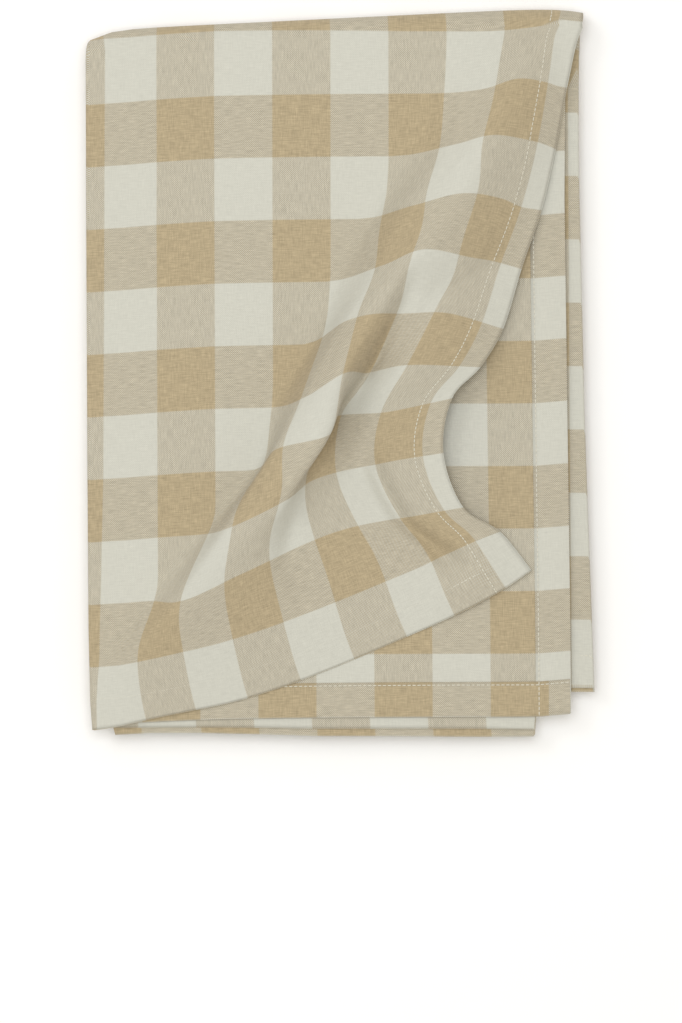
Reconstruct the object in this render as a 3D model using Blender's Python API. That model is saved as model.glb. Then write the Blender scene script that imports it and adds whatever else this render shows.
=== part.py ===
# Gingham tablecloth, folded in quarters both ways, with the loose corner of its top ply pulled back
import math

import bpy
import bmesh
from mathutils import Vector

MM = 0.001
CHECK_ACROSS = 40.7      # one check, across the cloth
CHECK_ALONG = 43.8       # one check, along the cloth
HEM_WIDE = 24.0          # turned hem on all four sides
CLOTH_THICK = 1.0
HEM_EXTRA = 0.3          # the turned hem stands proud on the wrong side
PLY_PITCH = 1.65         # from one ply to the next
STRIP_PITCH = 4 * PLY_PITCH
PUFF = 0.12              # the stack is a little fuller in the middle than at its folds
HEM_REST_X = 350.0       # where the first side hem lies before it is pulled back
ROW_RISE = 7.0           # the check rows climb this much to the right
ROW_RISE_OVER = 70.0
OUTLINE_WIDE = 357.5
OUTLINE_LONG = 509.0
LOWEST_Y = -5.2

# lengths of cloth in one section, from the first side hem round to the second
ACROSS = dict(top_ply=347.0, left_fold=7.8, back_ply=344.0, right_fold=2.6,
              third_ply=339.1, inner_fold=2.6, second_ply=331.0)
# lengths of cloth from the first end to the last, away from the top fold's own slant
ALONG = dict(strip_1=478.0, top_fold=31.1, strip_2=453.0, low_fold=10.4,
             strip_3=451.5, inner_fold=10.4, strip_4=449.0)

# edge lines of the folded sections: how far along the cloth, left fold, first hem,
# second hem and right-hand fold, all as x in mm from the stack's left side
EDGES = (
    # strip and part of it, left, hem_1, hem_2, right
    (0.00, 4.6, 350.0, 339.8, 315.5),
    (0.04, 3.2, 350.0, 339.7, 317.0),
    (0.15, 2.0, 350.0, 339.2, 328.0),
    (0.40, 1.2, 350.0, 337.5, 333.5),
    (0.75, 0.4, 350.0, 335.2, 333.0),
    (1.00, 0.0, 350.0, 336.0, 338.0),
    (2.00, 1.0, 347.0, 338.0, 345.0),
    (3.00, 3.5, 334.0, 330.0, 336.0),
    (4.00, 3.5, 334.0, 330.0, 336.0),
    (5.00, 1.5, 336.0, 333.0, 344.0),
    (6.00, 0.5, 336.0, 333.0, 346.2),
    (6.20, 1.0, 336.0, 333.0, 346.2),
    (6.60, 2.0, 337.0, 334.0, 350.6),
    (7.00, 3.5, 338.0, 335.0, 357.3),
)

# the first end's hems don't quite meet: each ply's lower edge against the top ply's, in mm
PLY_SHIFT = (
    # segment of the section, part of it, shift
    (0.00, 0.0), (1.50, 0.0), (2.15, -5.5), (2.50, -11.0), (2.93, -11.6),
    (3.50, -9.6), (4.07, -7.6), (4.50, -7.0), (4.90, -3.0), (5.50, 0.5),
    (6.10, 2.0), (7.00, 2.0),
)

# the pulled-back top ply, one row for each line of checks up from its lower edge: foot, crest and
# dip are given in checks from the hem, the shoulder is one check in from the foot; x, y, z in mm
PULLED = (
    # foot, shoulder x, y, crest, x, y, z, dip, x, y, z, hem x, y, z
    (8.4, 38, 6, 5.38, 113, 22, 1, 2.38, 224, 65, 2, 312, 111, 3),
    (8.2, 40, 49, 5.38, 102, 63, 9, 1.38, 244, 113, 5, 290, 138, 12),
    (7.35, 67, 90, 5.00, 109, 109, 24, 2.90, 176, 138, 9, 264, 155, 28),
    (6.45, 101, 141, 4.38, 136, 158, 36, 3.20, 153, 173, 12, 250, 193, 40),
    (5.5, 137, 198, 3.55, 174, 215, 42, 2.75, 175, 217, 11, 256, 231, 42),
    (5.2, 155, 232, 3.38, 180, 248, 43, 2.38, 200, 249, 27, 276, 253, 30),
    (4.6, 185, 285, 2.90, 205, 289, 42, 1.90, 230, 290, 34, 292, 280, 14),
    (4.2, 208, 323, 2.10, 237, 334, 40, 1.10, 270, 329, 24, 305, 322, 7),
    (3.6, 230, 365, 1.70, 263, 373, 34, 0.80, 292, 370, 19, 319, 363, 5),
    (3.0, 260, 408, 1.15, 286, 414, 27, 0.50, 312, 411, 14, 329, 406, 3),
    (2.6, 279, 447, 0.95, 303, 454, 16, 0.40, 323, 452, 9, 337, 449, 2),
    (2.4, 293, 489, 0.95, 311, 491, 1, 0.40, 329, 494, 1, 346, 492, 0),
)

# lines of corners in the top ply: hem, hem to dip, dip to crest, crest to foot, foot to left fold
HEM_LINES = 2
PULL_LINES = (6, 5, 7, 4)
DENSE_ALONG = 27


def ease(t):
    t = max(0.0, min(1.0, t))
    return t * t * (3 - 2 * t)


def step_between(rows, place, column):
    for low, high in zip(rows, rows[1:]):
        if place <= high[0]:
            span = high[0] - low[0]
            t = 0.0 if span == 0 else max(0.0, (place - low[0]) / span)
            return low[column] + (high[column] - low[column]) * t
    return rows[-1][column]


def bend_through(knots, values, at):
    # a smooth line through a few values, level where it starts
    last = len(knots) - 1
    i = 0
    while i < last - 1 and at > knots[i + 1]:
        i += 1
    span = knots[i + 1] - knots[i]
    t = min(1.0, (at - knots[i]) / span)
    rise = (values[i + 1] - values[i]) / span
    start = rise * 0
    if i > 0:
        start = ((values[i] - values[i - 1]) / (knots[i] - knots[i - 1]) + rise) / 2
    end = rise
    if i < last - 1:
        end = ((values[i + 2] - values[i + 1]) / (knots[i + 2] - knots[i + 1]) + rise) / 2
    return (values[i] * (2 * t ** 3 - 3 * t ** 2 + 1) + start * span * (t ** 3 - 2 * t ** 2 + t)
            + values[i + 1] * (3 * t ** 2 - 2 * t ** 3) + end * span * (t ** 3 - t ** 2))


def row_rise(x):
    return ROW_RISE * (1 - math.exp(-max(x, 0.0) / ROW_RISE_OVER))


def top_fold_y(x):
    # the line that the top fold's centre follows; it drops at both ends
    line = 475.4 + 0.049 * x
    return line - 8.0 * math.exp(-x / 12.0) - 5.0 * math.exp(-max(0.0, 349.0 - x) / 8.0)


def pulled_row(number):
    below = int(max(0, min(len(PULLED) - 1, math.floor(number))))
    t = number - below
    rows = [PULLED[max(0, min(len(PULLED) - 1, below + k))] for k in (-1, 0, 1, 2)]
    blend = []
    for a, b, c, d in zip(*rows):
        blend.append(0.5 * (2 * b + (c - a) * t + (2 * a - 5 * b + 4 * c - d) * t * t
                            + (3 * b - a - 3 * c + d) * t ** 3))
    return blend


def pull(across, along):
    # how far the top ply is carried from where it would lie, for one place on the cloth
    number = along / CHECK_ALONG
    fade = 1 - ease((number - 10.6) / 0.9)
    (foot, side_x, side_y, crest, crest_x, crest_y, crest_z, dip, dip_x, dip_y, dip_z,
     hem_x, hem_y, hem_z) = pulled_row(min(number, 11.0))
    place = across / CHECK_ACROSS
    if fade == 0 or place >= foot:
        return Vector((0, 0, 0))
    stops = ((foot - 1, side_x, side_y, 0.8 * crest_z), (crest, crest_x, crest_y, crest_z),
             (dip, dip_x, dip_y, dip_z), (0, hem_x, hem_y, hem_z))
    knots = [0] + [foot - stop[0] for stop in stops]
    moves = [Vector((0, 0, 0))]
    for checks, x, y, z in stops:
        rest_x = HEM_REST_X - checks * CHECK_ACROSS
        moves.append(Vector((x - rest_x, y - along - row_rise(rest_x), z)))
    return bend_through(knots, moves, foot - place) * fade


def strip_levels():
    middle = CLOTH_THICK / 2 + 7.5 * PLY_PITCH
    return [middle + STRIP_PITCH * k for k in (1.5, -1.5, -0.5, 0.5)]


def section(segment, part, edge):
    # x across the stack and height in the strip, for one place in the back-and-forth section
    left, hem_1, hem_2, right = edge
    outer = 1.5 * PLY_PITCH
    inner = 0.5 * PLY_PITCH
    left_in = left + CLOTH_THICK / 2 + outer
    left_deep = left_in + 2.0
    right_in = right - CLOTH_THICK / 2 - inner
    turn = math.pi * part
    if segment == 0:
        return hem_1 + (left_in - hem_1) * part, outer
    if segment == 1:
        return left_in - outer * math.sin(turn), outer * math.cos(turn)
    if segment == 2:
        return left_in + (right_in - left_in) * part, -outer
    if segment == 3:
        return right_in + inner * math.sin(turn), -2 * inner - inner * math.cos(turn)
    if segment == 4:
        return right_in + (left_deep - right_in) * part, -inner
    if segment == 5:
        return left_deep - inner * math.sin(turn), -inner * math.cos(turn)
    return left_deep + (hem_2 - left_deep) * part, inner


def cloth_place(segment, part, strip, portion):
    # flat place on the cloth, in mm from the corner where the first hem meets the first end
    widths = list(ACROSS.values())
    lengths = list(ALONG.values())
    return (sum(widths[:segment]) + widths[segment] * part,
            sum(lengths[:strip]) + lengths[strip] * portion)


def sheet_point(segment, part, strip, portion):
    # the middle of the cloth's thickness at one place
    edge = [step_between(EDGES, strip + portion, k) for k in (1, 2, 3, 4)]
    x, height = section(segment, part, edge)
    across, along = cloth_place(segment, part, strip, portion)
    levels = strip_levels()
    top_y = top_fold_y(x)
    big = 1.5 * STRIP_PITCH
    small = 0.5 * STRIP_PITCH
    low_y = 12.0 + small + 1.5 * PLY_PITCH + CLOTH_THICK / 2
    turn = math.pi * portion
    if strip == 0:
        shift = step_between(PLY_SHIFT, segment + part, 1)
        rise = row_rise(x)
        along = (top_y - rise) * portion
        y = rise + along + shift * (1 - portion)
        z = levels[0] + height
    elif strip == 1:
        y = top_y + (big + height) * math.sin(turn)
        z = levels[0] - big + (big + height) * math.cos(turn)
    elif strip == 2:
        y = top_y + (low_y - top_y) * portion
        z = levels[1] - height
    elif strip == 3:
        y = low_y - (small + height) * math.sin(turn)
        z = levels[1] + small - (small + height) * math.cos(turn)
    elif strip == 4:
        y = low_y + (top_y - 1.0 - low_y) * portion
        z = levels[2] + height
    elif strip == 5:
        y = top_y - 1.0 + (small - height) * math.sin(turn)
        z = levels[2] + small - (small - height) * math.cos(turn)
    else:
        end_y = 29.4 - 3.2 * ease((segment + part - 2.9) / 0.4) * ease((5.4 - segment - part) / 0.4)
        y = top_y - 1.0 + (end_y - top_y + 1.0) * portion
        z = levels[3] - height
    low = CLOTH_THICK / 2
    fuller = 1 + PUFF * ease(x / 60) * ease((355 - x) / 60) * ease(y / 60) * ease((500 - y) / 60)
    z = low + (z - low) * fuller
    place = Vector((x, y, z))
    if strip == 0 and segment == 0:
        place += pull(across, along)
    elif strip == 1 and segment == 0:
        place += pull(across, 478.0 + 31.1 * portion) * (1 - ease(portion * 2))
    return place


def sheet_side(segment, part, strip, portion):
    # which way the cloth's face looks, from the places just beside
    step = 0.004
    lines = []
    for across, along in ((step, 0), (0, step)):
        a = part + across if part + across <= 1 else part
        b = part - across if part - across >= 0 else part
        c = portion + along if portion + along <= 1 else portion
        d = portion - along if portion - along >= 0 else portion
        lines.append(sheet_point(segment, a, strip, c) - sheet_point(segment, b, strip, d))
    return lines[1].cross(lines[0]).normalized()


def top_ply_lines(along):
    # parts of the top ply's width with a line of corners; the lines follow its ridge
    row = pulled_row(max(0.0, min(11.0, along / CHECK_ALONG)))
    wide = ACROSS["top_ply"]
    hem = HEM_WIDE + 0.4
    foot, crest, dip = (min(row[k] * CHECK_ACROSS, limit)
                        for k, limit in ((0, wide - 14), (3, wide - 60), (7, wide - 110)))
    dip = max(dip, hem + 12.0)
    crest = max(crest, dip + 10.0)
    stops = (hem, dip, crest, foot, wide)
    places = [HEM_WIDE * k / HEM_LINES for k in range(HEM_LINES)] + [HEM_WIDE - 0.4]
    for low, high, lines in zip(stops, stops[1:], PULL_LINES):
        places += [low + (high - low) * k / lines for k in range(lines)]
    return [place / wide for place in places + [wide]]


def plain_lines(number, length, lines, folded, last):
    # parts of a stretch of cloth with a line of corners, and two where a hem ends
    if folded:
        return [(number, k / lines) for k in range(1, lines)]
    parts = [k / lines for k in range(lines + 1)]
    if number == 0 or last:
        hem = HEM_WIDE / length if number == 0 else 1 - HEM_WIDE / length
        parts = [p for p in parts if p in (0, 1) or abs(p - hem) > 0.35 / lines]
        parts += [hem - 0.4 / length, hem + 0.4 / length]
    return [(number, p) for p in sorted(parts)]


def make_cloth():
    across_lines = dict(left_fold=6, back_ply=3, right_fold=4, third_ply=3, inner_fold=4,
                        second_ply=3)
    along_lines = dict(strip_1=DENSE_ALONG, top_fold=8, strip_2=3, low_fold=5, strip_3=3,
                       inner_fold=5, strip_4=3)
    across, along = [], []
    for number, (name, length) in enumerate(ACROSS.items()):
        if number > 0:
            across += plain_lines(number, length, across_lines[name], "fold" in name, number == 6)
    for number, (name, length) in enumerate(ALONG.items()):
        along += plain_lines(number, length, along_lines[name], "fold" in name, number == 6)
    wide_total = sum(ACROSS.values())
    long_total = sum(ALONG.values())
    mesh = bmesh.new()
    faces, backs = [], []
    for strip, portion in along:
        face_line, back_line = [], []
        v = cloth_place(0, 0, strip, portion)[1]
        for segment, part in [(0, p) for p in top_ply_lines(v)] + across:
            middle = sheet_point(segment, part, strip, portion)
            side = sheet_side(segment, part, strip, portion)
            u = cloth_place(segment, part, strip, portion)[0]
            to_edge = min(u, wide_total - u, v, long_total - v)
            back = CLOTH_THICK / 2 + (HEM_EXTRA if to_edge < HEM_WIDE else 0.0)
            for line, offset in ((face_line, CLOTH_THICK / 2), (back_line, -back)):
                spot = middle + side * offset
                line.append(mesh.verts.new(((spot.x - OUTLINE_WIDE / 2) * MM,
                                            (spot.y - LOWEST_Y - OUTLINE_LONG / 2) * MM,
                                            spot.z * MM)))
        faces.append(face_line)
        backs.append(back_line)
    long, wide = len(faces), len(faces[0])
    for i in range(long - 1):
        for j in range(wide - 1):
            mesh.faces.new((faces[i][j], faces[i][j + 1], faces[i + 1][j + 1], faces[i + 1][j]))
            mesh.faces.new((backs[i][j], backs[i + 1][j], backs[i + 1][j + 1], backs[i][j + 1]))
    for i in range(long - 1):
        for j in (0, wide - 1):
            mesh.faces.new((faces[i][j], backs[i][j], backs[i + 1][j], faces[i + 1][j]))
    for j in range(wide - 1):
        for i in (0, long - 1):
            mesh.faces.new((faces[i][j], backs[i][j], backs[i][j + 1], faces[i][j + 1]))
    bmesh.ops.recalc_face_normals(mesh, faces=mesh.faces)
    bmesh.ops.triangulate(mesh, faces=mesh.faces)
    data = bpy.data.meshes.new("tablecloth")
    mesh.to_mesh(data)
    mesh.free()
    return bpy.data.objects.new("tablecloth", data)


def finish_of(name, colour):
    material = bpy.data.materials.new(name)
    material.use_nodes = True
    shader = material.node_tree.nodes["Principled BSDF"]
    shader.inputs["Base Color"].default_value = (*colour, 1)
    shader.inputs["Roughness"].default_value = 0.9
    return material


for thing in list(bpy.data.objects):
    bpy.data.objects.remove(thing)
folder = bpy.data.collections.new("folded_tablecloth")
bpy.context.scene.collection.children.link(folder)
cloth = make_cloth()
cloth.data.materials.append(finish_of("gingham", (0.60, 0.52, 0.38)))
folder.objects.link(cloth)
print("tablecloth:", len(cloth.data.polygons), "triangles")
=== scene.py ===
# Folded gingham tablecloth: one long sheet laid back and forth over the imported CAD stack,
# with turned hems, stitches and a pulled-back top corner.
import math

import bpy
import bmesh
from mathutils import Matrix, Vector


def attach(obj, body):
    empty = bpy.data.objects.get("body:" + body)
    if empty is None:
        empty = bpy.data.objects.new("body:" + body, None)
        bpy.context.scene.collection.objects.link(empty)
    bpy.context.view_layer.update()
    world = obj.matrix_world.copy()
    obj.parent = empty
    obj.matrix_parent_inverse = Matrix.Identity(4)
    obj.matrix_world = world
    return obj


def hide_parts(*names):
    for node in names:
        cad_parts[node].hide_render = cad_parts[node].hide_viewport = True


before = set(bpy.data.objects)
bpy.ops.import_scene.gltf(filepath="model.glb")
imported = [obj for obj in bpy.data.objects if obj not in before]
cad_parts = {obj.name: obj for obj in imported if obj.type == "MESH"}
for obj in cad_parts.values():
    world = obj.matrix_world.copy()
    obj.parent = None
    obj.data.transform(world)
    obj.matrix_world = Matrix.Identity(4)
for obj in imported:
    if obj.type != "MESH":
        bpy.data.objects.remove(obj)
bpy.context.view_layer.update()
print("frame loaded:", list(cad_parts))

mm = 0.001

# the cloth as it is cut and folded, in mm, the same sizes as the CAD part
cloth = {
    "checkAcross": 40.7,        # one check across the cloth
    "checkAlong": 43.8,         # one check along it
    "lastCream": 15.5,          # cream left on the face at the first side hem
    "thick": 0.62,              # what the eye sees; the CAD sheet is 1 mm
    "pitch": 1.65,              # ply to ply
    "puff": 0.12,               # the stack swells a little in its middle
    "puffOver": 60.0,           # and less this near to its sides
    "hemRestX": 350.0,          # where the top ply's hem would lie flat
    "softFoot": 0.35,           # the pulled ply starts to lift this many checks before its foot
    "ridesOver": 4.4,           # extra reach of the loose edge over the top fold
    "rowRise": 7.0,             # the lines of checks rise this much from the left fold
    "riseOver": 70.0,           # and over this distance
    "innerShort": 3.0,          # the inner fold stops this short of the top fold
    "lowFoldY": 12.5,           # lower end of the second and third strips
    "lastEndY": 29.4,           # lower end of the fourth strip
    "halfSheet": 0.5,           # half the CAD sheet, from its middle to the outline
    "wide": 357.5,              # outline of the stack
    "long": 509.0,
    "lowestY": -5.2,            # lower end of that outline
}

# lengths of cloth round one section: top ply, back ply, third ply, second ply and their folds
acrossRuns = [("topPly", 347.0), ("leftFold", 7.8), ("backPly", 344.5), ("rightFold", 2.6),
              ("thirdPly", 338.0), ("innerFold", 2.6), ("secondPly", 331.0)]
# lengths from the first end to the last: four strips and the folds between them
alongRuns = [("strip1", 480.0), ("topFold", 27.1), ("strip2", 455.0), ("lowFold", 10.4),
             ("strip3", 451.5), ("innerFold", 10.4), ("strip4", 449.0)]

# edge lines of the section as it runs along the strips: place, left, hem 1, hem 2, right fold
edgeLines = [
    (0.00, 4.6, 350.0, 339.8, 315.5),
    (0.04, 3.2, 350.0, 339.7, 317.0),
    (0.15, 2.0, 350.0, 339.2, 328.0),
    (0.40, 1.2, 350.0, 337.5, 333.5),
    (0.75, 0.4, 350.0, 335.2, 333.0),
    (1.00, 0.0, 350.0, 336.0, 338.0),
    (2.00, 1.0, 347.0, 338.0, 345.0),
    (3.00, 3.5, 334.0, 330.0, 336.0),
    (4.00, 3.5, 334.0, 330.0, 336.0),
    (5.00, 1.5, 336.0, 333.0, 344.0),
    (6.00, 0.5, 336.0, 333.0, 346.2),
    (6.20, 1.0, 336.0, 333.0, 346.2),
    (6.60, 2.0, 337.0, 334.0, 350.6),
    (7.00, 3.5, 338.0, 335.0, 357.3),
]

# outline of the top fold: its height at the left, its tilt, and how its two ends fall off
topOutline = {
    "high": 477.4,
    "tilt": 0.049,
    "leftDrop": (9.0, 12.0),    # how much, and over what distance
    "rightDrop": (4.6, 18.0),
    "rightEnd": 349.0,
}

# lower edge of each ply against the top ply's, by place in the section
plyShift = [
    (0.00, 0.0), (0.75, 0.0), (0.93, -1.7), (1.00, -1.3), (1.50, -0.6), (2.039, 0.0),
    (2.043, -5.6), (2.15, -6.0), (2.50, -11.0), (2.93, -12.2),
    (3.50, -9.6), (4.07, -6.6), (4.50, -6.0), (4.90, -2.0), (5.00, 0.3), (5.50, 0.5),
    (6.10, 2.0), (6.93, 2.0), (7.00, 4.0),
]

# the pulled-back corner, a row for each line of checks up from the lower edge: foot, crest and
# dip in checks from the hem, the shoulder one check in from the foot; places in mm, heights
# above the ply's rest
pulledRows = [
    # foot, shoulder x, y, crest, x, y, z, dip, x, y, z, hem x, y, z
    (8.4, 38, 7.4, 5.38, 111, 22, 1, 2.38, 224, 65, 2, 312, 111, 3),
    (8.2, 40, 49, 5.38, 102, 63, 9, 1.90, 226, 110, 4, 290, 138, 7),
    (7.35, 67, 90, 5.00, 109, 109, 24, 2.90, 175, 138, 8, 264, 155, 14),
    (6.45, 101, 141, 4.20, 140, 160, 36, 3.08, 159, 174, 13, 250, 193, 19),
    (5.5, 135, 196, 3.45, 171, 206, 40, 2.92, 170, 216, 11, 256, 231, 20),
    (5.2, 155, 232, 3.34, 181, 248, 45, 2.45, 198, 249, 18, 276, 253, 14),
    (4.6, 184, 285, 3.00, 201, 289, 42, 2.10, 225, 290, 29, 292, 280, 9),
    (4.2, 208, 323, 2.10, 237, 334, 40, 1.10, 270, 329, 24, 305, 322, 7),
    (3.6, 230, 365, 1.70, 263, 373, 34, 0.80, 292, 370, 19, 319, 363, 5),
    (3.0, 260, 408, 1.15, 286, 414, 27, 0.50, 312, 411, 14, 329, 406, 3),
    (2.6, 279, 447, 0.95, 303, 454, 16, 0.40, 323, 452, 9, 337, 449, 2),
    (2.4, 293, 489, 0.95, 311, 491, 1, 0.40, 329, 494, 1, 346, 492, 0),
]

# a second rise between the dip and the hem, on the same lines of checks
browRows = [
    # checks from the hem, x, y, z
    (0.38, 294, 99, 4), (0.38, 273, 131.5, 11), (0.70, 241, 151, 13), (1.05, 213, 187, 18),
    (1.15, 214, 222, 22), (1.38, 225, 254, 27), (1.00, 255, 290, 24), (0.55, 285, 327, 14),
    (0.38, 305, 365, 11), (0.25, 321, 409, 8), (0.20, 330, 450, 5), (0.20, 337, 493, 0),
]

# how the pull goes out, in lines of checks up from the lower edge
pullEnd = {
    "from": 10.6,
    "over": 0.9,
}
shoulderHeight = 0.8            # as a part of the crest's

# soft troughs pressed into the pulled ply, each a line through a few places on the cloth
troughs = [
    # depth in mm, half width in checks, places in checks from the hem and up from the edge
    (8.0, 0.24, [(1.50, 3.55), (1.38, 2.70), (1.34, 1.80), (1.08, 1.05), (0.75, 0.45)]),
    (6.0, 0.25, [(2.80, 4.55), (2.45, 5.20), (2.36, 6.00), (2.15, 6.90)]),
    (4.0, 0.25, [(3.85, 0.90), (4.05, 1.80), (3.75, 2.75)]),
]

# where the weave sits on a ply against the plain measure from its folds, in mm
weavePhase = {
    "backLow": -6.1,            # back ply of the first strip, at its lower end
    "backUnder": 18.0,          # back ply of the last strip
    "thirdLow": -20.1,          # third ply of the first strip, at its lower end
    "lastPitch": 0.985,         # the last strip's checks are a little wider apart
    "lastShort": 3.0,           # and its weave ends this far from its edge
}
leftDrift = [
    # line of checks, shift of the yarns at the left fold
    (0, -4.5), (1, -1.5), (2, 0.0), (4, 2.6), (7, 3.8), (11, 5.2),
]

# how many lines of points each run of the sheet has
sheetLines = {
    "topPly": (9, 34, 26, 32, 17),      # hem, to the dip, to the crest, to the foot, to the left
    "leftFold": 10, "backPly": 8, "rightFold": 8, "thirdPly": 8,
    "innerAcross": 8, "secondPly": 16,
    "strip1": 164, "topFold": 18, "strip2": 8, "lowFold": 8, "strip3": 8,
    "innerAlong": 8, "strip4": 12,
}

# the back ply's lower edge steps down here, as parts of its width
stepParts = (0.0385, 0.0435)

hem = {
    "wide": 24.0,               # all in mm
    "flapThick": 0.34,
    "gap": 0.05,                # between the turned flap and the sheet
    "cornerGap": 0.06,          # between two hems that overlap
    "cornerRun": 4.0,           # an end hem drops off a side hem over this distance
    "roll": 0.45,               # how far the turned edge bulges outwards
}


def ease(t):
    t = max(0.0, min(1.0, t))
    return t * t * (3 - 2 * t)


def between(rows, place, column):
    for low, high in zip(rows, rows[1:]):
        if place <= high[0]:
            t = max(0.0, (place - low[0]) / (high[0] - low[0]))
            return low[column] + (high[column] - low[column]) * t
    return rows[-1][column]


def bendThrough(knots, values, at):
    # smooth line through a few values, level where it starts
    last = len(knots) - 1
    i = 0
    while i < last - 1 and at > knots[i + 1]:
        i += 1
    span = knots[i + 1] - knots[i]
    t = min(1.0, (at - knots[i]) / span)
    rise = (values[i + 1] - values[i]) / span
    start = rise * 0
    if i > 0:
        start = ((values[i] - values[i - 1]) / (knots[i] - knots[i - 1]) + rise) / 2
    end = rise
    if i < last - 1:
        end = ((values[i + 2] - values[i + 1]) / (knots[i + 2] - knots[i + 1]) + rise) / 2
    return (values[i] * (2 * t ** 3 - 3 * t ** 2 + 1) + start * span * (t ** 3 - 2 * t ** 2 + t)
            + values[i + 1] * (3 * t ** 2 - 2 * t ** 3) + end * span * (t ** 3 - t ** 2))


def rowRise(x):
    return cloth["rowRise"] * (1 - math.exp(-max(x, 0.0) / cloth["riseOver"]))


def topFoldY(x):
    line = topOutline["high"] + topOutline["tilt"] * x
    (left, leftOver), (right, rightOver) = topOutline["leftDrop"], topOutline["rightDrop"]
    return (line - left * math.exp(-x / leftOver)
            - right * math.exp(-max(0.0, topOutline["rightEnd"] - x) / rightOver))


def pulledRow(rows, number):
    below = int(max(0, min(len(rows) - 1, math.floor(number))))
    t = number - below
    near = [rows[max(0, min(len(rows) - 1, below + k))] for k in (-1, 0, 1, 2)]
    return [0.5 * (2 * b + (c - a) * t + (2 * a - 5 * b + 4 * c - d) * t * t
                   + (3 * b - a - 3 * c + d) * t ** 3) for a, b, c, d in zip(*near)]


def troughDepth(checksIn, checksUp):
    here = Vector((checksIn, checksUp))
    total = 0.0
    for depth, half, places in troughs:
        best = None
        for k, (a, b) in enumerate(zip(places, places[1:])):
            a, b = Vector(a), Vector(b)
            t = max(0.0, min(1.0, (here - a).dot(b - a) / (b - a).length_squared))
            gap = (here - a - (b - a) * t).length
            if best is None or gap < best[0]:
                best = (gap, (k + t) / (len(places) - 1))
        gap, along = best
        # each trough comes up from nothing and goes out again at its ends
        ends = ease(along / 0.25) * ease((1 - along) / 0.2)
        total += depth * math.exp(-(gap / half) ** 2) * ends
    return total


def pull(across, along):
    # how far the top ply is carried from where it would lie
    number = along / cloth["checkAlong"]
    fade = 1 - ease((number - pullEnd["from"]) / pullEnd["over"])
    row = min(number, len(pulledRows) - 1)
    (foot, sx, sy, crest, cx, cy, cz, dip, dx, dy, dz,
     hx, hy, hz) = pulledRow(pulledRows, row)
    brow = pulledRow(browRows, row)
    place = across / cloth["checkAcross"]
    if fade == 0 or place >= foot + cloth["softFoot"]:
        return Vector((0, 0, 0))
    stops = ((foot - 1, sx, sy, shoulderHeight * cz), (crest, cx, cy, cz), (dip, dx, dy, dz),
             brow, (0, hx, hy, hz))
    knots = [-cloth["softFoot"]] + [foot - stop[0] for stop in stops]
    moves = [Vector((0, 0, 0))]
    for checks, x, y, z in stops:
        restX = cloth["hemRestX"] - checks * cloth["checkAcross"]
        moves.append(Vector((x - restX, y - along - rowRise(restX), z)))
    move = bendThrough(knots, moves, foot - place)
    move.z = max(0.0, move.z - troughDepth(place, number))
    return move * fade


def besideFolds(left, right):
    # x where the outer and inner left folds and the right fold start to bend
    leftIn = left + cloth["halfSheet"] + 1.5 * cloth["pitch"]
    return leftIn, leftIn + 2.0, right - cloth["halfSheet"] - 0.5 * cloth["pitch"]


def sectionPoint(segment, part, edges):
    # x and height in the strip for a place in the back-and-forth section
    left, hem1, hem2, right = edges
    inner = cloth["pitch"] / 2
    outer = 3 * inner
    leftIn, leftDeep, rightIn = besideFolds(left, right)
    turn = math.pi * part
    if segment == 0:
        return hem1 + (leftIn - hem1) * part, outer
    if segment == 1:
        return leftIn - outer * math.sin(turn), outer * math.cos(turn)
    if segment == 2:
        return leftIn + (rightIn - leftIn) * part, -outer
    if segment == 3:
        return rightIn + inner * math.sin(turn), -2 * inner - inner * math.cos(turn)
    if segment == 4:
        return rightIn + (leftDeep - rightIn) * part, -inner
    if segment == 5:
        return leftDeep - inner * math.sin(turn), -inner * math.cos(turn)
    return leftDeep + (hem2 - leftDeep) * part, inner


wideFlat = sum(length for _, length in acrossRuns)
longFlat = sum(length for _, length in alongRuns)


def runStart(runs, number):
    return sum(length for _, length in runs[:number])


def clothPlace(segment, part, strip, portion):
    # flat place on the cloth, in mm from the corner of the first hem and the first end
    return (runStart(acrossRuns, segment) + acrossRuns[segment][1] * part,
            runStart(alongRuns, strip) + alongRuns[strip][1] * portion)


def yarnAcross(segment, part, strip, portion, x, edges, v):
    # which yarn of the weave lies at a place, measured across the cloth; a folded ply keeps its
    # true pitch, and the folds take up what is left over
    left, hem1, hem2, right = edges
    leftIn, leftDeep, rightIn = besideFolds(left, right)
    lower = (1 - ease(portion * 2)) if strip == 0 else 0.0
    under = 1.0 if strip == 6 else 0.0

    def topYarn(at):
        drift = between(leftDrift, v / cloth["checkAlong"], 1)
        drift *= 1.0 if strip == 0 else (1 - portion if strip == 1 else 0.0)
        # the drift dies out a check in from the fold
        drift *= 1 - ease((at - 14) / 40)
        return acrossRuns[0][1] * (hem1 - at) / (hem1 - leftIn) + drift

    def backYarn(at):
        inward = at - leftIn
        return (runStart(acrossRuns, 2) + inward
                + weavePhase["backLow"] * lower * ease(inward / 35)
                + weavePhase["backUnder"] * under * ease(inward / 120))

    def thirdYarn(at):
        return runStart(acrossRuns, 5) - (at - leftDeep) + weavePhase["thirdLow"] * lower

    def secondYarn(at):
        return wideFlat - (hem2 - at)

    if segment == 0:
        return topYarn(x)
    if segment == 1:
        return topYarn(leftIn) * (1 - part) + backYarn(leftIn) * part
    if segment == 2:
        return backYarn(x)
    if segment == 3:
        return backYarn(rightIn) * (1 - part) + thirdYarn(rightIn) * part
    if segment == 4:
        return thirdYarn(x)
    if segment == 5:
        return thirdYarn(leftDeep) * (1 - part) + secondYarn(leftDeep) * part
    return secondYarn(x)


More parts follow.
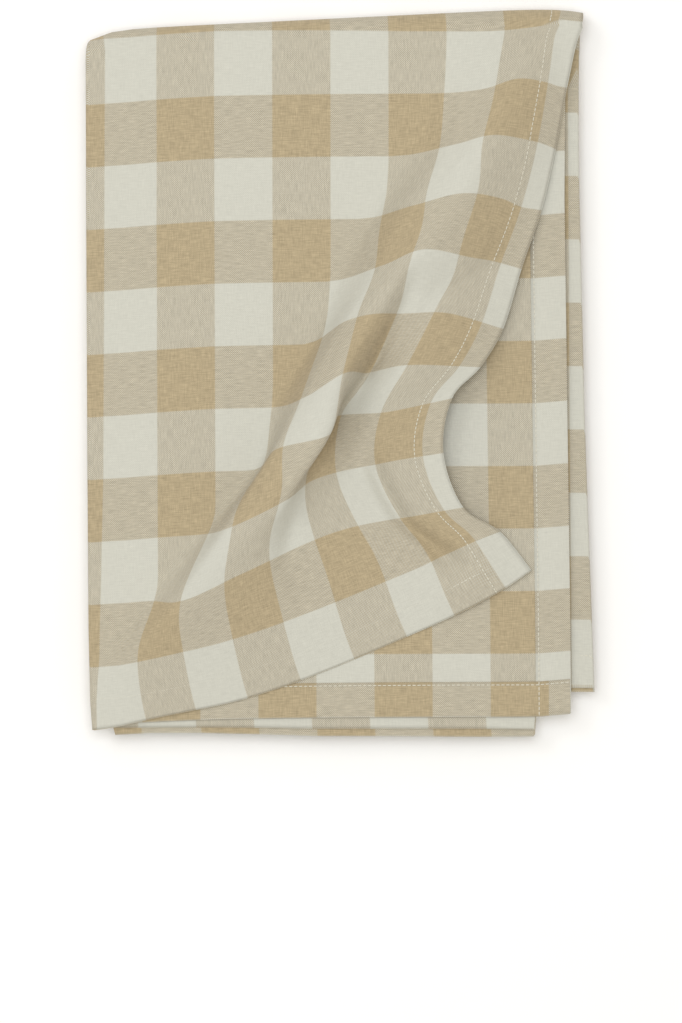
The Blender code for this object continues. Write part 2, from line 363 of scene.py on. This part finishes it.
def yarnAlong(strip, portion, y, topY, rise, shift, endY):
    # the same along the cloth
    first = topY - rise
    if strip == 0:
        return first * portion - shift * portion
    if strip == 1:
        return first - shift + alongRuns[1][1] * portion
    if strip == 2:
        start = first - shift + alongRuns[1][1]
        return start + (runStart(alongRuns, 3) - start) * portion
    if strip < 6:
        return runStart(alongRuns, strip) + alongRuns[strip][1] * portion
    fixed = runStart(alongRuns, 6)
    inward = y - endY - weavePhase["lastShort"]
    lower = longFlat - max(0.0, inward) * weavePhase["lastPitch"]
    blend = ease(portion * 6)
    return (fixed + alongRuns[6][1] * portion) * (1 - blend) + lower * blend


def sheetPoint(segment, part, strip, portion):
    # middle of the cloth at a place, with the yarns that lie there
    edges = [between(edgeLines, strip + portion, k) for k in (1, 2, 3, 4)]
    x, height = sectionPoint(segment, part, edges)
    # the middle of the sixteen plies
    half = cloth["halfSheet"]
    level = half + 7.5 * cloth["pitch"]
    stripPitch = 4 * cloth["pitch"]
    big, small = 1.5 * stripPitch, 0.5 * stripPitch
    topY = topFoldY(x)
    innerY = topY - cloth["innerShort"]
    rise = rowRise(x)
    place = segment + part
    shift = between(plyShift, place, 1)
    # the third and fourth plies of the last strip end a little lower
    endY = cloth["lastEndY"] - 3.2 * ease((place - 2.9) / 0.4) * ease((5.4 - place) / 0.4)
    # the low fold slopes up to the right
    slope = max(-1.0, min(1.1, 0.095 * (x - 346)))
    lowY = cloth["lowFoldY"] + small + 1.5 * cloth["pitch"] + slope
    turn = math.pi * portion
    if strip == 0:
        y = rise + (topY - rise) * portion + shift * (1 - portion)
        z = level + 1.5 * stripPitch + height
    elif strip == 1:
        y = topY + (big + height) * math.sin(turn)
        z = level + (big + height) * math.cos(turn)
    elif strip == 2:
        y = topY + (lowY - topY) * portion
        z = level - 1.5 * stripPitch - height
    elif strip == 3:
        y = lowY - (small + height) * math.sin(turn)
        z = level - stripPitch - (small + height) * math.cos(turn)
    elif strip == 4:
        y = lowY + (innerY - lowY) * portion
        z = level - 0.5 * stripPitch + height
    elif strip == 5:
        y = innerY + (small - height) * math.sin(turn)
        z = level - (small - height) * math.cos(turn)
    else:
        y = innerY + (endY - innerY) * portion
        z = level + 0.5 * stripPitch - height
    near = cloth["puffOver"]
    fuller = 1 + cloth["puff"] * (ease(x / near) * ease((355 - x) / near)
                                  * ease(y / near) * ease((500 - y) / near))
    spot = Vector((x, y, half + (z - half) * fuller))
    v = yarnAlong(strip, portion, y, topY, rise, shift, endY)
    across, along = clothPlace(segment, part, strip, portion)
    if segment == 0 and strip == 0:
        spot += pull(across, v)
    elif segment == 0 and strip == 1:
        spot += pull(across, along) * (1 - ease(portion * 2))
    u = yarnAcross(segment, part, strip, portion, x, edges, v)
    if segment == 0 and strip < 2:
        # the loose edge rides a little further over the top fold
        over = cloth["ridesOver"] * ease((x - 280) / 60) * ease((v - 440) / 40)
        v -= over * (1 - ease((portion - 0.3) / 0.7) if strip == 1 else 1)
    return spot, u, v


def toWorld(spot):
    return Vector(((spot.x - cloth["wide"] / 2) * mm,
                   (spot.y - cloth["lowestY"] - cloth["long"] / 2) * mm, (spot.z + 0.1) * mm))


def faceSide(segment, part, strip, portion):
    # unit normal of the cloth's face
    step = 0.003
    a, b = min(1.0, part + step), max(0.0, part - step)
    c, d = min(1.0, portion + step), max(0.0, portion - step)
    goAcross = sheetPoint(segment, a, strip, portion)[0] - sheetPoint(segment, b, strip, portion)[0]
    goAlong = sheetPoint(segment, part, strip, c)[0] - sheetPoint(segment, part, strip, d)[0]
    return goAlong.cross(goAcross).normalized()


def stationLines(runs, counts):
    # segment and part of every line of points, the folds included, with closer lines at free edges
    lines = []
    for number, count in enumerate(counts):
        first = 1 if number > 0 else 0
        lines += [(number, k / count) for k in range(first, count + 1)]
    last, length = len(runs) - 1, runs[-1][1]
    return lines[:-1] + [(last, 1 - 1.5 / length), (last, 1 - 0.4 / length), lines[-1]]


def topPlyParts(along):
    # lines of points across the top ply: they follow its hem, dip, crest and foot
    row = pulledRow(pulledRows, min(len(pulledRows) - 1, along / cloth["checkAlong"]))
    wide = acrossRuns[0][1]
    first = hem["wide"] + 1.0
    # the lines stay in order and apart where the pull goes out
    foot = min(row[0] * cloth["checkAcross"], wide - 14)
    crest = min(row[3] * cloth["checkAcross"], wide - 60)
    dip = max(min(row[7] * cloth["checkAcross"], wide - 110), first + 12)
    stops = (0.0, first, dip, max(crest, dip + 10), foot, wide)
    parts = []
    for low, high, count in zip(stops, stops[1:], sheetLines["topPly"]):
        parts += [(0, (low + (high - low) * k / count) / wide) for k in range(count)]
    return parts + [(0, 1.0)]


def makeSheet():
    # a flat grid with one row of points for each line, then carried to the folded shape; the
    # top ply's own lines are placed anew in each row
    others = stationLines(acrossRuns, [1] + [sheetLines[k] for k in (
        "leftFold", "backPly", "rightFold", "thirdPly", "innerAcross", "secondPly")])[2:]
    others = sorted(others + [(2, part) for part in stepParts])
    along = stationLines(alongRuns, [sheetLines[k] for k in (
        "strip1", "topFold", "strip2", "lowFold", "strip3", "innerAlong", "strip4")])
    across = [topPlyParts(clothPlace(0, 0, *place)[1]) + others for place in along]
    nx, ny = len(across[0]) - 1, len(along) - 1
    bm = bmesh.new()
    bmesh.ops.create_grid(bm, x_segments=nx, y_segments=ny, size=1.0)
    weave = bm.loops.layers.uv.new("weave")
    flat = {}
    for v in bm.verts:
        i = round((v.co.x + 1) / 2 * nx)
        j = round((v.co.y + 1) / 2 * ny)
        spot, yarnU, yarnV = sheetPoint(*across[j][i], *along[j])
        flat[v] = (yarnU * mm, yarnV * mm)
        v.co = toWorld(spot)
    for f in bm.faces:
        for loop in f.loops:
            loop[weave].uv = flat[loop.vert]
    bmesh.ops.reverse_faces(bm, faces=bm.faces)
    return bm


def pieceFrom(bm, name, materials):
    data = bpy.data.meshes.new(name)
    bm.to_mesh(data)
    bm.free()
    obj = bpy.data.objects.new(name, data)
    bpy.context.collection.objects.link(obj)
    for material in materials:
        data.materials.append(material)
    for poly in data.polygons:
        poly.use_smooth = True
    return obj


# materials
ginghamLook = {
    "cream": (0.585, 0.583, 0.519),
    "beige": (0.430, 0.352, 0.225),
    "edge": 0.0012,             # how soft a check's edge is, in metres
    "yarn": 0.00072,            # one yarn to the next
    "over": (0.9, 0.57),        # how clearly the yarns cross, and the share of those across
    "slub": (130, 1300),        # scale of the slubs along and across a yarn
    "gap": 0.065,               # how much the gaps darken where two colours meet
    "bump": 0.00012,
    "bumpStrength": 0.6,
    "rough": 0.92,
    "sheen": 0.12,
    "sheenRough": 0.6,
    "specular": 0.15,
}
threadLook = {
    "dark": (0.62, 0.60, 0.50),
    "light": (0.78, 0.76, 0.66),
    "twist": 1500,
    "rough": 0.7,
}


def node(tree, kind, place, **settings):
    made = tree.nodes.new(kind)
    made.location = place
    for key, value in settings.items():
        setattr(made, key, value)
    return made


def mathNode(tree, operation, a, b=None, place=(0, 0), c=None):
    made = node(tree, "ShaderNodeMath", place, operation=operation)
    for socket, value in zip(made.inputs, (a, b, c)):
        if value is None:
            continue
        if isinstance(value, (int, float)):
            socket.default_value = value
        else:
            tree.links.new(value, socket)
    return made.outputs[0]


def checkMask(tree, coordinate, start, pitch, place):
    # 1 on beige yarns, 0 on cream ones, with a soft edge
    shifted = mathNode(tree, "SUBTRACT", coordinate, start, place)
    turns = mathNode(tree, "MULTIPLY", shifted, math.pi / pitch, (place[0] + 150, place[1]))
    wave = mathNode(tree, "SINE", turns, None, (place[0] + 300, place[1]))
    steep = pitch / ginghamLook["edge"] / 2
    scaled = mathNode(tree, "MULTIPLY", wave, steep, (place[0] + 450, place[1]))
    mask = mathNode(tree, "ADD", scaled, 0.5, (place[0] + 600, place[1]))
    mask.node.use_clamp = True
    return mask


def newMaterial(name):
    material = bpy.data.materials.new(name)
    material.use_nodes = True
    return material, material.node_tree, material.node_tree.nodes["Principled BSDF"]


def makeGingham(name):
    material, tree, shader = newMaterial(name)
    shader.inputs["Roughness"].default_value = ginghamLook["rough"]
    shader.inputs["Sheen Weight"].default_value = ginghamLook["sheen"]
    shader.inputs["Sheen Roughness"].default_value = ginghamLook["sheenRough"]
    shader.inputs["Specular IOR Level"].default_value = ginghamLook["specular"]
    uv = node(tree, "ShaderNodeUVMap", (-1900, 0), uv_map="weave")
    parts = node(tree, "ShaderNodeSeparateXYZ", (-1750, 0))
    tree.links.new(uv.outputs[0], parts.inputs[0])
    u, v = parts.outputs[0], parts.outputs[1]
    warp = checkMask(tree, u, cloth["lastCream"] * mm, cloth["checkAcross"] * mm, (-1550, 300))
    weft = checkMask(tree, v, cloth["checkAlong"] * mm, cloth["checkAlong"] * mm, (-1550, 0))
    # which yarn is on top: a plain weave of small squares
    yarn = ginghamLook["yarn"]
    turnsU = mathNode(tree, "MULTIPLY", u, math.pi / yarn, (-1400, -300))
    turnsV = mathNode(tree, "MULTIPLY", v, math.pi / yarn, (-1400, -450))
    overU = mathNode(tree, "SINE", turnsU, None, (-1250, -300))
    overV = mathNode(tree, "SINE", turnsV, None, (-1250, -450))
    weave = mathNode(tree, "MULTIPLY", overU, overV, (-1100, -350))
    # slubs: thick and thin places that run along each set of yarns
    slubs = []
    for scale, place in ((ginghamLook["slub"], (-1400, -700)),
                         (ginghamLook["slub"][::-1], (-1400, -950))):
        stretch = node(tree, "ShaderNodeMapping", place)
        stretch.inputs["Scale"].default_value = (scale[0], scale[1], 1)
        tree.links.new(uv.outputs[0], stretch.inputs[0])
        grain = node(tree, "ShaderNodeTexNoise", (place[0] + 200, place[1]))
        grain.inputs["Scale"].default_value = 1.0
        grain.inputs["Detail"].default_value = 3.0
        tree.links.new(stretch.outputs[0], grain.inputs["Vector"])
        slubs.append(grain.outputs["Fac"])
    clear, share = ginghamLook["over"]
    topYarn = mathNode(tree, "MULTIPLY_ADD", weave, clear, (-900, -350), share)
    topYarn.node.use_clamp = True
    ramps = []
    for mask, y in ((warp, 300), (weft, 0)):
        mix = node(tree, "ShaderNodeMix", (-700, y), data_type="RGBA")
        mix.inputs["A"].default_value = (*ginghamLook["cream"], 1)
        mix.inputs["B"].default_value = (*ginghamLook["beige"], 1)
        tree.links.new(mask, mix.inputs["Factor"])
        ramps.append(mix.outputs["Result"])
    both = node(tree, "ShaderNodeMix", (-450, 150), data_type="RGBA")
    tree.links.new(topYarn, both.inputs["Factor"])
    tree.links.new(ramps[0], both.inputs["A"])
    tree.links.new(ramps[1], both.inputs["B"])
    # the beige yarns are more uneven than the cream ones
    shades = []
    for slub, mask, plain, extra, y in ((slubs[0], weft, 0.22, 0.50, -600),
                                        (slubs[1], warp, 0.18, 0.40, -800)):
        strength = mathNode(tree, "MULTIPLY_ADD", mask, extra, (-860, y), plain)
        uneven = mathNode(tree, "SUBTRACT", slub, 0.5, (-860, y - 90))
        shades.append(mathNode(tree, "MULTIPLY_ADD", uneven, strength, (-700, y), 1.0))
    # two colours side by side show the dark gaps between the yarns more
    apart = mathNode(tree, "SUBTRACT", warp, weft, (-860, -1000))
    unlike = mathNode(tree, "ABSOLUTE", apart, None, (-700, -1000))
    gaps = mathNode(tree, "MULTIPLY_ADD", unlike, -ginghamLook["gap"], (-520, -1000), 1.0)
    slubbed = mathNode(tree, "MULTIPLY", shades[0], shades[1], (-520, -650))
    shade = mathNode(tree, "MULTIPLY", slubbed, gaps, (-380, -650))
    tinted = node(tree, "ShaderNodeVectorMath", (-250, 100), operation="SCALE")
    tree.links.new(both.outputs["Result"], tinted.inputs[0])
    tree.links.new(shade, tinted.inputs["Scale"])
    tree.links.new(tinted.outputs[0], shader.inputs["Base Color"])
    relief = mathNode(tree, "MULTIPLY_ADD", weave, 0.5, (-700, -350), 0.5)
    rough = mathNode(tree, "ADD", relief, slubs[0], (-520, -400))
    bump = node(tree, "ShaderNodeBump", (-250, -300))
    bump.inputs["Strength"].default_value = ginghamLook["bumpStrength"]
    bump.inputs["Distance"].default_value = ginghamLook["bump"]
    tree.links.new(rough, bump.inputs["Height"])
    tree.links.new(bump.outputs[0], shader.inputs["Normal"])
    return material


def makeThread(name):
    material, tree, shader = newMaterial(name)
    coords = node(tree, "ShaderNodeTexCoord", (-700, 0))
    twist = node(tree, "ShaderNodeTexNoise", (-500, 0))
    twist.inputs["Scale"].default_value = threadLook["twist"]
    tree.links.new(coords.outputs["Object"], twist.inputs["Vector"])
    ramp = node(tree, "ShaderNodeValToRGB", (-300, 0))
    ramp.color_ramp.elements[0].color = (*threadLook["dark"], 1)
    ramp.color_ramp.elements[1].color = (*threadLook["light"], 1)
    tree.links.new(twist.outputs["Fac"], ramp.inputs["Fac"])
    tree.links.new(ramp.outputs["Color"], shader.inputs["Base Color"])
    shader.inputs["Roughness"].default_value = threadLook["rough"]
    return material


gingham = makeGingham("gingham")
thread = makeThread("stitchThread")
print("materials ready")

bm = makeSheet()
sheet = pieceFrom(bm, "clothSheet", [gingham])
wall = sheet.modifiers.new("ply", "SOLIDIFY")
wall.thickness = cloth["thick"] * mm
wall.offset = 0
wall.use_even_offset = False
print("sheet folded:", len(sheet.data.polygons), "faces")


# turned hems, a thin strip laid on the wrong side along each edge and rolled over it
def placeAt(u, v):
    # segment, part, strip and portion of a flat place on the cloth
    segment, strip = 0, 0
    while segment < 6 and u > acrossRuns[segment][1]:
        u -= acrossRuns[segment][1]
        segment += 1
    while strip < 6 and v > alongRuns[strip][1]:
        v -= alongRuns[strip][1]
        strip += 1
    return (segment, max(0.0, min(1.0, u / acrossRuns[segment][1])),
            strip, max(0.0, min(1.0, v / alongRuns[strip][1])))


def cornerRise(u):
    # an end hem lies over the side hem at a corner
    past = hem["wide"] + hem["cornerRun"] - min(u, wideFlat - u)
    return (hem["flapThick"] + hem["cornerGap"]) * ease(past / hem["cornerRun"])


def makeHem(name, side, stops, across):
    # side gives the flat place at a distance in from the edge, for a stop along it
    lie = cloth["thick"] / 2 + hem["gap"] + hem["flapThick"] / 2
    roll = hem["roll"]
    # distance in from the edge and away from the middle of the cloth
    lines = [(-0.1 * roll, 0.25), (-0.8 * roll, 0.2), (-roll, -0.1), (-0.8 * roll, -lie + 0.1),
             (0.0, -lie), (6.0, -lie), (12.0, -lie), (18.0, -lie), (hem["wide"], -lie)]
    bm = bmesh.new()
    bmesh.ops.create_grid(bm, x_segments=len(stops) - 1, y_segments=len(lines) - 1, size=1.0)
    weave = bm.loops.layers.uv.new("weave")
    flat = {}
    for vert in bm.verts:
        stop = stops[round((vert.co.x + 1) / 2 * (len(stops) - 1))]
        inward, away = lines[round((vert.co.y + 1) / 2 * (len(lines) - 1))]
        at = placeAt(*side(stop, max(inward, 0.0)))
        spot, yarnU, yarnV = sheetPoint(*at)
        outward = spot - sheetPoint(*placeAt(*side(stop, 1.5)))[0]
        if across and inward >= 0:
            away -= cornerRise(stop)
        spot += faceSide(*at) * away
        if inward < 0:
            spot += outward.normalized() * -inward
        edgeU, edgeV = sheetPoint(*placeAt(*side(stop, 0.0)))[1:]
        flat[vert] = ((yarnU * mm, (2 * edgeV - yarnV) * mm) if across
                      else ((2 * edgeU - yarnU) * mm, yarnV * mm))
        vert.co = toWorld(spot)
    for f in bm.faces:
        for loop in f.loops:
            loop[weave].uv = flat[loop.vert]
    obj = pieceFrom(bm, name, [gingham])
    wall = obj.modifiers.new("turn", "SOLIDIFY")
    wall.thickness = hem["flapThick"] * mm
    wall.offset = 0
    return obj


def runStops(runs, counts):
    # places of the points along a hem, closer at its two ends
    places, start = [], 0.0
    for (_, length), count in zip(runs, counts):
        places += [start + length * k / count for k in range(count)]
        start += length
    return [places[0], 0.4, 1.5] + places[1:] + [start - 1.5, start - 0.4, start]


alongStops = runStops(alongRuns, (120, 14, 8, 8, 8, 8, 12))
acrossStops = runStops(acrossRuns, (100, 10, 8, 8, 8, 8, 16))
acrossStops = sorted(acrossStops + [clothPlace(2, part, 0, 0)[0] for part in stepParts])
hems = [
    makeHem("hemSideOne", lambda s, d: (d, s), alongStops, False),
    makeHem("hemSideTwo", lambda s, d: (wideFlat - d, s), alongStops, False),
    makeHem("hemEndOne", lambda s, d: (s, d), acrossStops, True),
    makeHem("hemEndTwo", lambda s, d: (s, longFlat - d), acrossStops, True),
]
print("hems turned")


# stitches, on both sides of each hem
stitch = {
    "inFromEdge": 21.8,         # all in mm
    "pitch": 3.45,
    "long": 2.4,
    "wide": 0.75,
    "high": 0.42,
    "above": 0.05,              # middle of a stitch above the cloth's face
    "aboveHem": 0.09,           # and above the hem's flap, with its gap
}


def makeStitches(name, line, length, faces):
    # faces: 1 for the cloth's face or -1 for its wrong side, and how far the stitches sink in
    bm = bmesh.new()
    for k in range(int(length / stitch["pitch"])):
        s = (k + 0.5) * stitch["pitch"]
        a = placeAt(*line(s - stitch["long"] / 2))
        b = placeAt(*line(s + stitch["long"] / 2))
        sideA, sideB = faceSide(*a), faceSide(*b)
        spotA, spotB = sheetPoint(*a)[0], sheetPoint(*b)[0]
        # no stitch where a fold brings its two ends together
        if (spotB - spotA).length < 1.0:
            continue
        # where two hems overlap, the stitches go through both
        u, v = line(s)
        doubled = 0.0
        if min(v, longFlat - v) < hem["wide"] + 0.6:
            doubled = cornerRise(u)
        for face, sunk in faces:
            over = stitch["above"] if face > 0 else hem["flapThick"] + stitch["aboveHem"] + doubled
            away = cloth["thick"] / 2 + over - sunk
            low, high = toWorld(spotA + sideA * face * away), toWorld(spotB + sideB * face * away)
            run = high - low
            made = bmesh.ops.create_cone(bm, cap_ends=True, segments=6, radius1=0.5, radius2=0.5,
                                         depth=1.0)["verts"]
            up = (sideA + sideB).normalized()
            across = run.normalized().cross(up).normalized()
            for vert in made:
                c = vert.co.copy()
                vert.co = ((low + high) / 2 + run * c.z + across * c.x * stitch["wide"] * mm
                           + up * c.y * stitch["high"] * mm)
    return pieceFrom(bm, name, [thread])


inset = stitch["inFromEdge"]
proud = [(1, 0.0), (-1, 0.0)]
# the photo shows no stitches at the lower edge of the top ply, so they are faint there
faint = [(1, 0.24), (-1, 0.0)]
stitches = [
    makeStitches("stitchSideOne", lambda s: (inset, s), longFlat, proud),
    makeStitches("stitchSideTwo", lambda s: (wideFlat - inset, s), longFlat, proud),
    makeStitches("stitchEndOne", lambda s: (s, inset), wideFlat, faint),
    makeStitches("stitchEndTwo", lambda s: (s, longFlat - inset), wideFlat, proud),
]
print("stitches sewn:", sum(len(s.data.polygons) for s in stitches), "faces")

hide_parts("tablecloth")
for piece in [sheet] + hems + stitches:
    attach(piece, "root")


# floor, light and camera
view = {
    "high": 4.0,                # camera above the floor, in metres
    "topLevel": 0.028,          # the top ply, in metres
    "mmPerPixel": 0.70,         # on the top ply
    "wide": 682,                # picture, in pixels
    "tall": 1023,
    "left": 85,                 # left fold and lower edge of the cloth in the picture
    "low": 729,
    "sensor": 36.0,
    "floor": (0.98, 0.98, 0.98),
    "floorRough": 0.9,
    "floorHalf": 6.0,           # half the floor's side, in metres
    "lamp": (0.970, 1.0, 1.045),
    "world": (1.0, 0.94, 0.83),
    "worldPower": 0.60,
}

pale, _, paint = newMaterial("paleFloor")
paint.inputs["Base Color"].default_value = (*view["floor"], 1)
paint.inputs["Roughness"].default_value = view["floorRough"]
bm = bmesh.new()
bmesh.ops.create_grid(bm, x_segments=4, y_segments=4, size=view["floorHalf"])
floor = pieceFrom(bm, "floor", [pale])

lamps = [
    # name, place, size, power
    ("overhead", (-0.1, 0.15, 3.2), 2.0, 50.5),
    ("fromUpperLeft", (-1.3, 1.0, 2.2), 1.0, 8.5),
]
for name, place, size, power in lamps:
    light = bpy.data.lights.new(name, "AREA")
    light.shape = "DISK"
    light.size = size
    light.energy = power
    light.color = view["lamp"]
    lamp = bpy.data.objects.new(name, light)
    lamp.location = place
    lamp.rotation_euler = (-Vector(place)).to_track_quat("-Z", "Y").to_euler()
    bpy.context.collection.objects.link(lamp)
world = bpy.data.worlds.new("studio")
bpy.context.scene.world = world
world.use_nodes = True
sky = world.node_tree.nodes["Background"]
sky.inputs["Color"].default_value = (*view["world"], 1)
sky.inputs["Strength"].default_value = view["worldPower"]

camera = bpy.data.cameras.new("camera")
cameraObject = bpy.data.objects.new("camera", camera)
bpy.context.collection.objects.link(cameraObject)
camera.sensor_width = view["sensor"]
tall = view["tall"] * view["mmPerPixel"] * mm
camera.lens = view["sensor"] * (view["high"] - view["topLevel"]) / tall
middle = Vector(((view["wide"] / 2 - view["left"]) * view["mmPerPixel"],
                 (view["low"] - view["tall"] / 2) * view["mmPerPixel"], 0))
cameraObject.location = toWorld(middle)
cameraObject.location.z = view["high"]
bpy.context.scene.camera = cameraObject
bpy.context.scene.view_settings.view_transform = "Standard"
